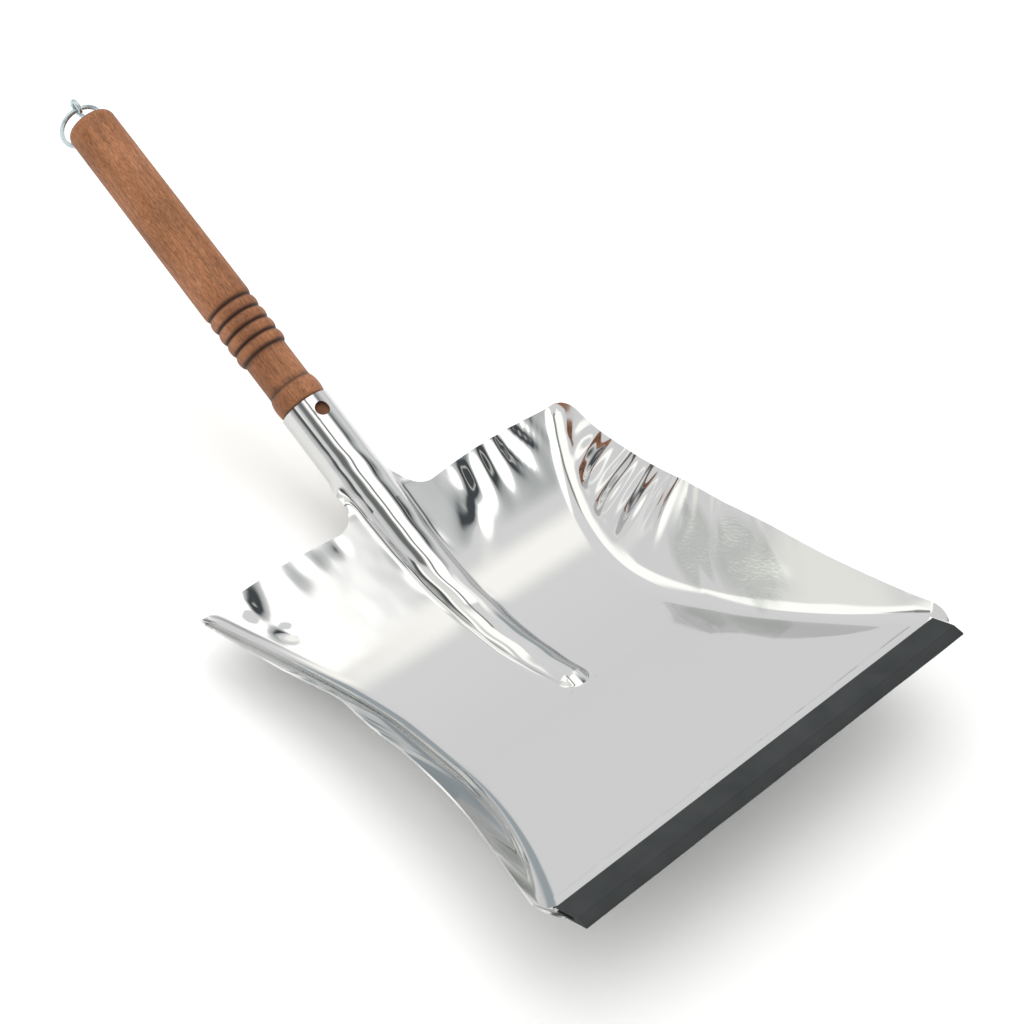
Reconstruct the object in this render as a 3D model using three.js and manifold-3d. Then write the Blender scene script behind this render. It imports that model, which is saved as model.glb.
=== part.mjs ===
// Pressed steel dustpan with a rolled socket, a turned wooden handle, a rubber lip and a hanging ring.
// Everything is modelled in the pan's own frame: X across the pan, Y from the lip towards the handle,
// Z up from the flat floor. The last lines tip that frame back until the pan stands on its curved heel.
import * as THREE from 'three';
import { mergeVertices } from 'three/addons/utils/BufferGeometryUtils.js';
import Module from 'manifold-3d';

const wasm = await Module();
wasm.setup();

// ---- Driving dimensions, mm and degrees ----
const GAP = 0.3; // clearance between pieces that touch
const SHEET = 0.8; // thickness of the pan's steel

const LIP_LEFT = 120.3; // ends of the lip, from the centre line
const LIP_RIGHT = 122;
const LIP_DEPTH = 17.6; // from its rear edge to its front edge
const LIP_FLAP = 1.1; // thickness of each rubber flap
const LIP_STEP = 13; // from the rear edge to the step where the blade starts
const LIP_BLADE = 1.0; // thickness of the front edge
const LIP_DROP = 1.8; // how far the front edge slopes down

const TONGUE = 10; // sheet held inside the lip
const FLOOR_LENGTH = 106; // flat floor, from the lip's rear edge
const HEEL_RADIUS = 159;
const BACK_ANGLE = 46; // slope at the top of the back wall, and of the handle
const BACK_EDGE = 251; // back edge, measured along the sheet from the lip
const BACK_BULGE = 2; // each half of the back edge is slightly convex
const CREASE_RADIUS = 7;
const WALL_START = 0.9; // the full sections start just behind the lip
const EAR_LENGTH = 10.5; // rounded front corners of the sheet, beside the lip's ends
const WING_ROUNDING = 7.5; // rounded rear corners of the side walls

const STAND_ANGLE = 20; // the pan stands tipped back by this much
const HEEL_FACETS = 7;
const HEEL_STEP = 6.6; // angle between two bend lines of the heel
const STANDING_FACET = 2.5; // bend lines before the middle of the facet that lies flat on the ground

const BEAD_TIP = 108; // start of the central bead along the sheet
const BEAD_HALF_WIDTH = 7.2;
const BEAD_HEIGHT = 4.6;
const SOCKET_RADIUS = 13.1; // mid-surface of the rolled socket
const SOCKET_DEPTH = 3.2; // handle axis below the sheet's own surface
const SOCKET_LENGTH = 65; // from the back edge to the socket's rim
const SOCKET_FILLET = 13; // rounding between the back edge and the socket
const SOCKET_WRAP = 174; // half angle that the sheet wraps at the rim
const WRAP_START = 4; // the sheet stays flat beside the socket for this far behind the back edge
const WRAP_LENGTH = 24; // and is fully round after this much more
const CENTRE_HALF_WIDTH = 30.5; // strip of the pan that carries the bead and its feet
const PEEP_HOLE_RADIUS = 3.8;
const PEEP_HOLE_FROM_RIM = 8.3;

const SPIGOT_LENGTH = 42;
const SPIGOT_RADIUS = SOCKET_RADIUS - SHEET / 2 - 2 * GAP;
const COLLAR_RADIUS = 13.1;
const COLLAR_LENGTH = 11.5;
const NECK_RADIUS = 11.7;
const GRIP_RADIUS = 13.3;
const GRIP_END_RADIUS = 12.9;
const FIRST_GROOVE = 33.6; // grooves, from the socket's rim
const GROOVE_PITCH = 7.3;
const GROOVE_COUNT = 5;
const HANDLE_END = 185.5; // far end of the wood, from the socket's rim
const END_ROUNDING = 5;

const EYE_WIRE = 1.15; // radius
const EYE_LOOP = 3.9; // radius of the loop's centre line
const EYE_REACH = 9.2; // centre of the loop, from the end of the wood
const EYE_SHANK = 14;
const EYE_TURN = 12; // turn of the loop about the handle's axis
const RING_WIRE = 1.25;
const RING_RADIUS = 11.5; // centre line
const RING_SAG = 1.1; // the ring's wire rests this far below the middle of the eye
const RING_LEAN = 11; // the hanging ring leans to the right
const RING_TURN = 8.5; // turn of the hanging ring about the line it hangs along

// ---- Steps of the meshes ----
const BEAD_STEPS = 5;
const FOOT_STEPS = 6;
const FLOOR_STEPS = 3;
const CREASE_STEPS = 3;
const WALL_STEPS = 3;
const FILLET_STEPS = 5;
const SOCKET_ROWS = 7;
const TURNED_SEGMENTS = 28;
const COLLAR_STEPS = 6;
const END_STEPS = 4;

const deg = THREE.MathUtils.degToRad;
const lerp = THREE.MathUtils.lerp;
const smooth = (t) => THREE.MathUtils.smoothstep(t, 0, 1);
const X_AXIS = new THREE.Vector3(1, 0, 0);

// ---- The sheet's side view: flat floor, round heel, straight back wall ----
const backAngle = deg(BACK_ANGLE);
const heelEnd = FLOOR_LENGTH + HEEL_RADIUS * backAngle;

// Frame of the unbent sheet at a distance along it: point, forward tangent and upward normal.
function sheetFrame(along) {
  const angle = THREE.MathUtils.clamp((along - FLOOR_LENGTH) / HEEL_RADIUS, 0, backAngle);
  const tangent = new THREE.Vector3(0, Math.cos(angle), Math.sin(angle));
  const normal = new THREE.Vector3(0, -Math.sin(angle), Math.cos(angle));
  const flat = Math.min(along, FLOOR_LENGTH);
  const straight = Math.max(along - heelEnd, 0);
  const point = new THREE.Vector3(0, flat, HEEL_RADIUS)
    .addScaledVector(normal, -HEEL_RADIUS)
    .addScaledVector(tangent, straight);
  return { point, tangent, normal };
}

// Point of the sheet's frame moved across and up.
function onSheet(along, across, up) {
  const { point, normal } = sheetFrame(along);
  return point.clone().addScaledVector(X_AXIS, across).addScaledVector(normal, up);
}

// ---- The sheet's plan: half width at the crease, then a flared side wall ----
const WAIST = 75.5; // half width at the narrowest place
const WAIST_AT = 150;
const FRONT_FLARE = 47; // how much wider the crease is at the lip than at the waist
const REAR_FLARE = 39;

function creaseHalfWidth(along) {
  if (along < WAIST_AT) return WAIST + FRONT_FLARE * ((WAIST_AT - along) / WAIST_AT) ** 1.9;
  return WAIST + REAR_FLARE * ((along - WAIST_AT) / (BACK_EDGE - WAIST_AT)) ** 1.7;
}

// Side wall: distance along the sheet, width of the wall, slope above the floor.
const wallCurve = new THREE.CatmullRomCurve3([
  new THREE.Vector3(0, 8.5, 38),
  new THREE.Vector3(42, 27, 50),
  new THREE.Vector3(84, 43.5, 52),
  new THREE.Vector3(126, 52, 51),
  new THREE.Vector3(168, 51, 52),
  new THREE.Vector3(209, 37, 54),
  new THREE.Vector3(BACK_EDGE, 9, 58),
]);

function wallAt(along) {
  const steps = wallCurve.points.length - 1;
  const next = Math.max(1, wallCurve.points.findIndex((p, i) => i > 0 && along <= p.x));
  const from = wallCurve.points[next - 1].x;
  const to = wallCurve.points[next].x;
  const at = wallCurve.getPoint((next - 1 + (along - from) / (to - from)) / steps);
  const rounded = Math.max(along - (BACK_EDGE - WING_ROUNDING), 0);
  const cut = WING_ROUNDING - Math.sqrt(WING_ROUNDING ** 2 - rounded ** 2);
  return { width: at.y - cut, slope: deg(at.z) };
}

// ---- The bead: a round ridge that grows from its tip into the socket ----
const beadRise = (along) => Math.sqrt(smooth((along - BEAD_TIP) / 9));
const socketHalfWidth = Math.sqrt(SOCKET_RADIUS ** 2 - SOCKET_DEPTH ** 2);

function beadAt(along) {
  const grown = THREE.MathUtils.clamp((along - BEAD_TIP) / (BACK_EDGE - BEAD_TIP), 0, 1);
  const halfWidth = lerp(BEAD_HALF_WIDTH, socketHalfWidth, grown);
  const height = Math.max(0.02, lerp(BEAD_HEIGHT, SOCKET_RADIUS - SOCKET_DEPTH, grown) * beadRise(along));
  const radius = (halfWidth ** 2 + height ** 2) / (2 * height);
  return { radius, centre: height - radius, halfAngle: Math.asin(halfWidth / radius), halfWidth };
}

// Right half of one section from the centre line outwards: bead, foot, floor, crease, wall.
function centreSection(along) {
  const bead = beadAt(along);
  const points = [];
  for (let i = 0; i <= BEAD_STEPS; i++) {
    const angle = (bead.halfAngle * i) / BEAD_STEPS;
    points.push(onSheet(along, bead.radius * Math.sin(angle), bead.centre + bead.radius * Math.cos(angle)));
  }
  for (let i = 1; i <= FOOT_STEPS; i++) {
    points.push(onSheet(along, lerp(bead.halfWidth, CENTRE_HALF_WIDTH, i / FOOT_STEPS), 0));
  }
  return points;
}

function floorSection(along) {
  const edge = creaseHalfWidth(Math.max(along, WALL_START)) - CREASE_RADIUS;
  const bulge = BACK_BULGE * smooth((along - heelEnd) / (BACK_EDGE - heelEnd));
  const points = [];
  for (let i = 1; i <= FLOOR_STEPS; i++) {
    const t = i / FLOOR_STEPS;
    points.push(onSheet(along + bulge * Math.sin(Math.PI * t), lerp(CENTRE_HALF_WIDTH, edge, t), 0));
  }
  return points;
}

function wallSection(along) {
  const { tangent, normal } = sheetFrame(along);
  const { width, slope } = wallAt(along);
  const step = 1;
  const lean = (creaseHalfWidth(along + step) - creaseHalfWidth(along - step)) / (2 * step);
  const outward = X_AXIS.clone().addScaledVector(tangent, -lean).normalize();
  const up = outward.clone().multiplyScalar(Math.cos(slope)).addScaledVector(normal, Math.sin(slope));
  const corner = onSheet(along, creaseHalfWidth(along), 0);
  const inner = onSheet(along, creaseHalfWidth(along) - CREASE_RADIUS, 0);
  const bendEnd = Math.min(CREASE_RADIUS, 0.6 * width);
  const bend = new THREE.QuadraticBezierCurve3(inner, corner, corner.clone().addScaledVector(up, bendEnd));
  const points = bend.getPoints(CREASE_STEPS).slice(1);
  for (let i = 1; i <= WALL_STEPS; i++) {
    points.push(corner.clone().addScaledVector(up, lerp(bendEnd, width, i / WALL_STEPS)));
  }
  return points;
}

// Both halves of a section, from the left edge to the right edge.
function bothHalves(right) {
  const left = right.slice(1).reverse().map((p) => new THREE.Vector3(-p.x, p.y, p.z));
  return [...left, ...right];
}

const panSection = (along) => bothHalves([...centreSection(along), ...floorSection(along), ...wallSection(along)]);
const tongueSection = (along) => bothHalves([...centreSection(along), ...floorSection(along)]);

// Beside the lip's ends only the rising edge of the sheet goes on, and it ends in a rounded corner.
function earSection(forward) {
  const [inner, ...outer] = wallSection(WALL_START).slice(1);
  const shrink = Math.sqrt(1 - (forward / EAR_LENGTH) ** 2);
  const points = [inner, ...outer.map((p) => inner.clone().lerp(p, shrink))];
  return points.map((p) => new THREE.Vector3(p.x, p.y - forward, p.z));
}

// Behind the back edge only the centre strip goes on, and its feet wrap round into the socket.
function socketSection(along, foot) {
  const wrap = smooth((along - BACK_EDGE - WRAP_START) / WRAP_LENGTH);
  const start = Math.asin(socketHalfWidth / SOCKET_RADIUS);
  const points = [];
  for (let i = 0; i <= BEAD_STEPS; i++) {
    const angle = (start * i) / BEAD_STEPS;
    points.push([SOCKET_RADIUS * Math.sin(angle), SOCKET_RADIUS * Math.cos(angle) - SOCKET_DEPTH]);
  }
  for (let i = 1; i <= FOOT_STEPS; i++) {
    const reach = (foot * i) / FOOT_STEPS;
    const angle = start + reach / SOCKET_RADIUS;
    const flat = [socketHalfWidth + reach, 0];
    const round = [SOCKET_RADIUS * Math.sin(angle), SOCKET_RADIUS * Math.cos(angle) - SOCKET_DEPTH];
    points.push([lerp(flat[0], round[0], wrap), lerp(flat[1], round[1], wrap)]);
  }
  return bothHalves(points.map(([across, up]) => onSheet(along, across, up)));
}

// ---- Meshes from rows of points ----
function gridGeometry(rows) {
  const positions = rows.flat().flatMap((p) => p.toArray());
  const columns = rows[0].length;
  const index = [];
  for (let r = 0; r + 1 < rows.length; r++) {
    for (let c = 0; c + 1 < columns; c++) {
      const a = r * columns + c;
      const b = a + columns;
      index.push(a, a + 1, b + 1, a, b + 1, b);
    }
  }
  return { positions, index };
}

function joinGrids(grids) {
  const positions = [];
  const index = [];
  for (const grid of grids) {
    const base = positions.length / 3;
    positions.push(...grid.positions);
    index.push(...grid.index.map((i) => i + base));
  }
  const joined = new THREE.BufferGeometry();
  joined.setAttribute('position', new THREE.Float32BufferAttribute(positions, 3));
  joined.setIndex(index);
  return mergeVertices(joined, 1e-3);
}

// Gives a surface its thickness, half to each side, and closes it along its free edges.
function thicken(surface, thickness) {
  surface.computeVertexNormals();
  const { position, normal } = surface.attributes;
  const faces = surface.index.array;
  const count = position.count;
  const positions = [];
  for (const side of [thickness / 2, -thickness / 2]) {
    for (let i = 0; i < count; i++) {
      positions.push(position.getX(i) + side * normal.getX(i));
      positions.push(position.getY(i) + side * normal.getY(i));
      positions.push(position.getZ(i) + side * normal.getZ(i));
    }
  }
  const index = [];
  const used = new Map();
  for (let f = 0; f < faces.length; f += 3) {
    const [a, b, c] = [faces[f], faces[f + 1], faces[f + 2]];
    index.push(a, b, c, c + count, b + count, a + count);
    for (const [from, to] of [[a, b], [b, c], [c, a]]) used.set(`${from} ${to}`, [from, to]);
  }
  for (const [from, to] of used.values()) {
    if (!used.has(`${to} ${from}`)) index.push(to, from, from + count, to, from + count, to + count);
  }
  const solid = new THREE.BufferGeometry();
  solid.setAttribute('position', new THREE.Float32BufferAttribute(positions, 3));
  solid.setIndex(index);
  return solid;
}

function toManifold(geometry) {
  const bare = geometry.clone();
  bare.deleteAttribute('normal');
  bare.deleteAttribute('uv');
  const merged = mergeVertices(bare, 1e-4);
  return new wasm.Manifold(new wasm.Mesh({
    numProp: 3,
    vertProperties: new Float32Array(merged.attributes.position.array),
    triVerts: new Uint32Array(merged.index.array),
  }));
}

function fromManifold(solid) {
  const mesh = solid.getMesh();
  const geometry = new THREE.BufferGeometry();
  geometry.setAttribute('position', new THREE.BufferAttribute(mesh.vertProperties, 3));
  geometry.setIndex(new THREE.BufferAttribute(mesh.triVerts, 1));
  return geometry;
}

// Turned shape about the handle's axis: each pair of the outline is [radius, distance from the rim].
function turned(outline, segments) {
  const lathe = new THREE.LatheGeometry(outline.map(([r, z]) => new THREE.Vector2(r, z)), segments);
  return lathe.rotateX(Math.PI / 2);
}

// ---- Pan ----
function panGeometry() {
  const tongueRows = [-TONGUE, 0, WALL_START].map(tongueSection);

  const bendLines = [];
  for (let i = 0; i < HEEL_FACETS; i++) {
    bendLines.push(FLOOR_LENGTH + HEEL_RADIUS * deg(STAND_ANGLE + HEEL_STEP * (i - STANDING_FACET)));
  }
  const floorRows = [WALL_START, 5, 8.5, 12, 24, 38, 52, 66, 80, 94, BEAD_TIP - 3];
  const tipRows = [BEAD_TIP + 1, BEAD_TIP + 4, BEAD_TIP + 9];
  const heelRows = bendLines.filter((along) => along > BEAD_TIP + 9 && along < heelEnd - 4);
  const backRows = [heelEnd, BACK_EDGE - WING_ROUNDING];
  for (const t of [0.6, 0.88, 1]) backRows.push(BACK_EDGE - WING_ROUNDING * (1 - t));
  const panRows = [...floorRows, ...tipRows, ...heelRows, ...backRows].map(panSection);

  const fullFoot = CENTRE_HALF_WIDTH - socketHalfWidth;
  const rimFoot = SOCKET_RADIUS * (deg(SOCKET_WRAP) - Math.asin(socketHalfWidth / SOCKET_RADIUS));
  const socketRows = [];
  for (let i = 0; i <= FILLET_STEPS; i++) {
    const turn = (Math.PI / 2) * (i / FILLET_STEPS);
    const foot = fullFoot - SOCKET_FILLET * Math.sin(turn);
    socketRows.push(socketSection(BACK_EDGE + SOCKET_FILLET * (1 - Math.cos(turn)), foot));
  }
  for (let i = 1; i <= SOCKET_ROWS; i++) {
    const t = i / SOCKET_ROWS;
    const along = BACK_EDGE + lerp(SOCKET_FILLET, SOCKET_LENGTH, t);
    socketRows.push(socketSection(along, lerp(fullFoot - SOCKET_FILLET, rimFoot, smooth(t * 1.3))));
  }
  const rightEar = [0.92, 0.75, 0.45, 0].map((t) => earSection(EAR_LENGTH * t));
  const leftEar = rightEar.map((row) => row.map((p) => new THREE.Vector3(-p.x, p.y, p.z)).reverse());
  const surface = joinGrids([tongueRows, panRows, socketRows, rightEar, leftEar].map(gridGeometry));
  const sheet = toManifold(thicken(surface, SHEET));

  const holeAlong = BACK_EDGE + SOCKET_LENGTH - PEEP_HOLE_FROM_RIM;
  const drill = new THREE.CylinderGeometry(PEEP_HOLE_RADIUS, PEEP_HOLE_RADIUS, SOCKET_RADIUS, 24);
  drill.rotateX(backAngle);
  const top = onSheet(holeAlong, 0, SOCKET_RADIUS - SOCKET_DEPTH);
  drill.translate(top.x, top.y, top.z);
  return fromManifold(sheet.subtract(toManifold(drill)));
}

// ---- Handle, in its own frame: Z runs from the socket's rim to the far end ----
function gripOutline() {
  const outline = [[0, -SPIGOT_LENGTH], [SPIGOT_RADIUS - 1.5, -SPIGOT_LENGTH], [SPIGOT_RADIUS, -SPIGOT_LENGTH + 6]];
  outline.push([SPIGOT_RADIUS, GAP]);
  for (let i = 0; i <= COLLAR_STEPS; i++) {
    const t = i / COLLAR_STEPS;
    const bulge = Math.sin(Math.PI * t) ** 0.6;
    outline.push([lerp(NECK_RADIUS + 0.3, COLLAR_RADIUS, bulge), lerp(GAP, COLLAR_LENGTH, t)]);
  }
  outline.push([NECK_RADIUS, COLLAR_LENGTH + 1.5]);
  for (let i = 0; i < GROOVE_COUNT; i++) {
    const middle = FIRST_GROOVE + GROOVE_PITCH * i;
    outline.push([NECK_RADIUS, middle]);
    if (i + 1 < GROOVE_COUNT) {
      for (const t of [0.18, 0.35, 0.5, 0.65, 0.82]) {
        const bulge = Math.sin(Math.PI * t) ** 0.5;
        outline.push([lerp(NECK_RADIUS, GRIP_RADIUS, bulge), middle + GROOVE_PITCH * t]);
      }
    }
  }
  const gripStart = FIRST_GROOVE + GROOVE_PITCH * (GROOVE_COUNT - 1);
  outline.push([GRIP_RADIUS - 0.4, gripStart + 1.2], [GRIP_RADIUS, gripStart + 3]);
  outline.push([GRIP_END_RADIUS, HANDLE_END - END_ROUNDING]);
  for (let i = 1; i <= END_STEPS; i++) {
    const turn = (Math.PI / 2) * (i / END_STEPS);
    outline.push([
      GRIP_END_RADIUS - END_ROUNDING * (1 - Math.cos(turn)),
      HANDLE_END - END_ROUNDING * (1 - Math.sin(turn)),
    ]);
  }
  outline.push([0, HANDLE_END]);
  return outline;
}

function handleGeometry() {
  const length = EYE_SHANK + 2;
  const pilot = new THREE.CylinderGeometry(EYE_WIRE + GAP, EYE_WIRE + GAP, length, 16);
  pilot.rotateX(Math.PI / 2).translate(0, 0, HANDLE_END - EYE_SHANK + length / 2);
  const wood = toManifold(turned(gripOutline(), TURNED_SEGMENTS));
  return fromManifold(wood.subtract(toManifold(pilot)));
}

// ---- Screw eye: a closed loop on a shank that sits in the end of the wood ----
function eyeGeometry() {
  const loop = new THREE.TorusGeometry(EYE_LOOP, EYE_WIRE, 10, 24);
  loop.rotateY(Math.PI / 2).rotateZ(-deg(EYE_TURN)).translate(0, 0, HANDLE_END + EYE_REACH);
  const length = EYE_SHANK - GAP + EYE_REACH - EYE_LOOP;
  const shank = new THREE.CylinderGeometry(EYE_WIRE, EYE_WIRE, length, 16);
  shank.rotateX(Math.PI / 2).translate(0, 0, HANDLE_END + EYE_REACH - EYE_LOOP - length / 2);
  return fromManifold(toManifold(loop).add(toManifold(shank)));
}

// ---- Rubber lip: an extruded section that grips the sheet's front edge ----
function lipGeometry() {
  const slot = SHEET / 2 + GAP;
  const outline = new THREE.Shape([
    new THREE.Vector2(0, slot),
    new THREE.Vector2(0, slot + LIP_FLAP - 0.4),
    new THREE.Vector2(-0.5, slot + LIP_FLAP),
    new THREE.Vector2(-LIP_STEP, slot + LIP_FLAP),
    new THREE.Vector2(-LIP_STEP - 0.4, slot + LIP_FLAP - 0.4),
    new THREE.Vector2(-LIP_DEPTH, LIP_BLADE - LIP_DROP),
    new THREE.Vector2(-LIP_DEPTH, -LIP_DROP),
    new THREE.Vector2(-LIP_STEP, -slot - LIP_FLAP),
    new THREE.Vector2(0, -slot - LIP_FLAP),
    new THREE.Vector2(0, -slot),
    new THREE.Vector2(-TONGUE - GAP, -slot),
    new THREE.Vector2(-TONGUE - GAP, slot),
  ]);
  const geometry = new THREE.ExtrudeGeometry(outline, { depth: LIP_LEFT + LIP_RIGHT, bevelEnabled: false });
  const alongPan = new THREE.Matrix4().makeBasis(
    new THREE.Vector3(0, 1, 0), new THREE.Vector3(0, 0, 1), new THREE.Vector3(1, 0, 0));
  return geometry.applyMatrix4(alongPan).translate(-LIP_LEFT, 0, 0);
}

// ---- Materials ----
const steel = () => new THREE.MeshStandardMaterial({ color: 0xd6d8d9, roughness: 0.08, metalness: 1 });
const zinc = () => new THREE.MeshStandardMaterial({ color: 0xb9c4c8, roughness: 0.3, metalness: 1 });
const beech = () => new THREE.MeshStandardMaterial({ color: 0x8d573a, roughness: 0.5, metalness: 0 });
const rubber = () => new THREE.MeshStandardMaterial({ color: 0x35383a, roughness: 0.7, metalness: 0 });

function piece(name, geometry, material) {
  const mesh = new THREE.Mesh(geometry, material);
  mesh.name = name;
  return mesh;
}

// ---- Assembly ----
const handleFrame = new THREE.Group();
handleFrame.position.copy(onSheet(BACK_EDGE + SOCKET_LENGTH, 0, -SOCKET_DEPTH));
handleFrame.rotation.x = backAngle - Math.PI / 2;
handleFrame.add(piece('handle', handleGeometry(), beech()), piece('screw_eye', eyeGeometry(), zinc()));

const panFrame = new THREE.Group();
panFrame.rotation.x = -deg(STAND_ANGLE);
panFrame.add(piece('pan', panGeometry(), steel()), piece('rubber_lip', lipGeometry(), rubber()), handleFrame);

// The ring hangs from the eye by its own weight, so it is placed in the upright frame. Its joint turns
// about the tangent of its wire where it passes through the eye.
const dustpan = new THREE.Group();
dustpan.add(panFrame);
dustpan.updateMatrixWorld(true);
const hang = new THREE.Vector3(0, 0, -1).applyAxisAngle(new THREE.Vector3(0, -1, 0), deg(RING_LEAN));
const tangent = new THREE.Vector3(0, -1, 0).cross(hang).applyAxisAngle(hang, deg(RING_TURN));
const inEye = new THREE.Vector3(0, 0, HANDLE_END + EYE_REACH).applyMatrix4(handleFrame.matrixWorld);
inEye.z -= RING_SAG;
const ring = piece('hanging_ring', new THREE.TorusGeometry(RING_RADIUS, RING_WIRE, 10, 36), zinc());
const up = hang.clone().negate();
ring.quaternion.setFromRotationMatrix(
  new THREE.Matrix4().makeBasis(tangent, up, tangent.clone().cross(up)));
ring.position.copy(inEye).addScaledVector(hang, RING_RADIUS);
dustpan.add(ring);

// The origin goes to the middle of the footprint, at the height of the ground.
const bounds = new THREE.Box3().setFromObject(dustpan, true);
const middle = bounds.getCenter(new THREE.Vector3());
for (const part of dustpan.children) part.position.sub(new THREE.Vector3(middle.x, middle.y, bounds.min.z));

export default dustpan;
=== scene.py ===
"""Visual model of the dustpan: a mirror-polished pressed steel pan with a rolled socket, a turned wooden
handle, a rubber lip, a screw eye and a hanging ring. It stands tipped back on its heel in a soft studio."""
import math

import bmesh
import bpy
import numpy as np
from mathutils import Matrix, Vector


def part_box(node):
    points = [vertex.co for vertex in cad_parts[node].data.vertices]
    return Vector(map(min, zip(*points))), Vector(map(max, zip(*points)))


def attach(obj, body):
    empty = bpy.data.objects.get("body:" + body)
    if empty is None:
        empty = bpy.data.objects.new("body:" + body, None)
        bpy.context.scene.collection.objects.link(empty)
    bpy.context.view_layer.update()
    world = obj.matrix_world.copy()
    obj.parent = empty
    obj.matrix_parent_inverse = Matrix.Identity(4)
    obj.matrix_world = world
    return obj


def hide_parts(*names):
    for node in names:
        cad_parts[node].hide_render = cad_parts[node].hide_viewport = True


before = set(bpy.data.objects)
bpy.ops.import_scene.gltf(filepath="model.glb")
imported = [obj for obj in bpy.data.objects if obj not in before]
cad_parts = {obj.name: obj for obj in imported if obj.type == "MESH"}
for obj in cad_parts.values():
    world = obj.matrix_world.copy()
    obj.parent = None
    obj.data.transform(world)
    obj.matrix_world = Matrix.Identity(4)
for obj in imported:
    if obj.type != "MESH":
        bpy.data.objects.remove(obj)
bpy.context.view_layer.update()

MM = 0.001
PI = math.pi
deg = math.radians

# ---- Driving dimensions of the object, mm and degrees ----
SHEET = 0.8
RIM_ROUNDING = 0.22
GAP = 0.3
STAND_ANGLE = 20

# The rubber lip.
LIP_LEFT = 120.3
LIP_RIGHT = 122
LIP_DEPTH = 17.6
LIP_FLAP = 1.1
LIP_STEP = 13
LIP_BLADE = 1.0
LIP_DROP = 1.8
TONGUE = 10

# The sheet. Distances along it start at the rear edge of the lip.
FLOOR_LENGTH = 106
HEEL_RADIUS = 159
BACK_ANGLE = 46
BACK_EDGE = 251
BACK_BULGE = 2
CREASE_RADIUS = 7
WALL_START = 0.9
EAR_LENGTH = 10.5
WING_ROUNDING = 7.5
WAIST = 75.5
WAIST_AT = 150
FRONT_FLARE = 47
FRONT_FLARE_POWER = 1.9
REAR_FLARE = 39
REAR_FLARE_POWER = 1.7
# The side walls, at even steps along the sheet: distance, width and slope.
WALL_CURVE = (
    (0, 8.5, 38), (42, 27, 50), (84, 43.5, 52), (126, 52, 51), (168, 51, 52), (209, 37, 54), (251, 9, 58),
)

# The bead and the socket that it runs into.
BEAD_TIP = 108
BEAD_TIP_RISE = 9
BEAD_HALF_WIDTH = 7.2
BEAD_HEIGHT = 4.6
SOCKET_RADIUS = 13.1
SOCKET_DEPTH = 3.2
SOCKET_LENGTH = 65
SOCKET_FILLET = 13
SOCKET_WRAP = 174
CENTRE_HALF_WIDTH = 30.5
FILLET_SHARE = 0.42  # length of the fillet beside the bead's arc, in radii of the arc
WRAP_START = 4  # the feet stay flat for this far behind the back edge
WRAP_LENGTH = 24
CLOSING_RATE = 1.3  # the feet reach their width at the rim this much sooner than the rim
PEEP_HOLE_RADIUS = 3.8
PEEP_HOLE_FROM_RIM = 8.3

# The handle. Heights start at the rim of the socket.
SPIGOT_LENGTH = 42
SPIGOT_RADIUS = SOCKET_RADIUS - SHEET / 2 - 2 * GAP
SPIGOT_CHAMFER = 1.5
SPIGOT_TAPER = 6
COLLAR_RADIUS = 13.1
COLLAR_LENGTH = 11.5
NECK_RADIUS = 11.7
GRIP_RADIUS = 13.3
GRIP_END_RADIUS = 12.9
FIRST_GROOVE = 33.6
GROOVE_PITCH = 7.3
GROOVE_COUNT = 5
LAST_GROOVE = FIRST_GROOVE + GROOVE_PITCH * (GROOVE_COUNT - 1)
GROOVE_DEPTH = 0.3  # below the neck
NECK_START = COLLAR_LENGTH + 1.5
NECK_END = FIRST_GROOVE - 1.2
GRIP_START = LAST_GROOVE + 3.2
HANDLE_END = 185.5
END_ROUNDING = 5
PILOT_HOLE_DEPTH = 3

# The screw eye and the ring.
EYE_WIRE = 1.15
EYE_LOOP = 3.9
EYE_REACH = 9.2
EYE_SHANK = 14
EYE_TURN = 12
RING_WIRE = 1.25
RING_RADIUS = 11.5
RING_SAG = 1.1
RING_LEAN = 11
RING_TURN = 8.5
SEAM_DEPTH = 0.16

BACK = deg(BACK_ANGLE)
HEEL_END = FLOOR_LENGTH + HEEL_RADIUS * BACK
MIRROR = np.array((-1, 1, 1))

# ---- Fineness of the meshes ----
BEAD_STEPS = 16
BEND_STEPS = 10
FOOT_STEPS = 10
WALK_STEPS = 8
FLOOR_COLUMNS = 26
CREASE_COLUMNS = 12
WALL_COLUMNS = 26
HOLE_COLUMN = 4  # the hole's edge falls on this column of the bead
HOLE_ZONE = 7.4  # the rows and columns bend round the hole within this distance
BEND_FROM_LIP = 5  # a faint bend line across the floor
# Bands of rows along the sheet: first and last distance, and count.
ROW_BANDS = (
    (WALL_START, 2 * BEND_FROM_LIP, 22),
    (2 * BEND_FROM_LIP, BEAD_TIP - 3, 56),
    (BEAD_TIP - 3, BEAD_TIP + 11, 44),
    (BEAD_TIP + 11, HEEL_END, 150),
    (HEEL_END, BACK_EDGE, 28),
)
EAR_ROWS = (0.985, 0.93, 0.85, 0.75, 0.6, 0.45, 0.3, 0.15, 0)
LIP_LOOPS = 81
HANDLE_SIDES = 128
EYE_SIDES = 20
RING_SIDES = 24
RING_STEPS = 144
MERGE_DISTANCE = 2e-6  # metres
FLAT_BEND = 3  # width of the columns of the fillet in front of the bead
LOWEST_BEAD = 0.02  # a row with a lower bead is flat
SMALLEST_ARC = 1e-3  # radians
TINY = 1e-6


def lerp(a, b, t):
    return a + (b - a) * t


def smooth(t):
    t = min(max(t, 0.0), 1.0)
    return t * t * (3 - 2 * t)


def smooth_array(t):
    t = np.clip(t, 0, 1)
    return t * t * (3 - 2 * t)


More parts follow.
